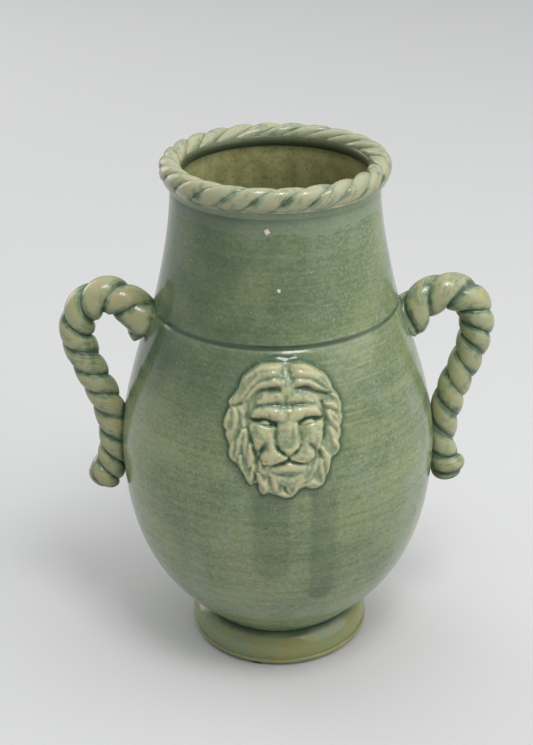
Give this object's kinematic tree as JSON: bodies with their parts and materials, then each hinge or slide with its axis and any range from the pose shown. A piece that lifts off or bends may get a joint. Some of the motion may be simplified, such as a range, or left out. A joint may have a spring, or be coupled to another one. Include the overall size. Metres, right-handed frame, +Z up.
{
  "type": "ceramic urn",
  "caption": "Green-glazed stoneware urn with a full belly, open mouth with rope-twist rim, rope-twist loop handles, a lion mask in relief and a ring foot.",
  "frame": {"origin": "on the urn's axis, on the surface it stands on", "axes": "+Z up along the urn's axis, the lion mask faces -Y, the handles stand out along -X and +X"},
  "size_m": [0.2889, 0.2164, 0.3504],
  "materials": {
    "body_glaze": "glossy sage-green glaze over stoneware",
    "rope_glaze": "glossy glaze, cream on the crests and green in the grooves",
    "mask_glaze": "glossy glaze, cream on the crests and green in the recesses",
    "foot_glaze": "olive glaze with a bare clay edge",
    "felt": "black felt"
  },
  "bodies": {
    "root": {"lower_body": "body_glaze", "upper_body": "body_glaze", "foot_ring": "foot_glaze", "rim_collar": "body_glaze", "rim_strand_1": "rope_glaze", "rim_strand_2": "rope_glaze", "rim_strand_3": "rope_glaze", "handle_left_strand_1": "rope_glaze", "handle_left_strand_2": "rope_glaze", "handle_right_strand_1": "rope_glaze", "handle_right_strand_2": "rope_glaze", "lion_mask": "mask_glaze", "felt_pad_1": "felt", "felt_pad_2": "felt", "felt_pad_3": "felt"}
  },
  "joints": []
}
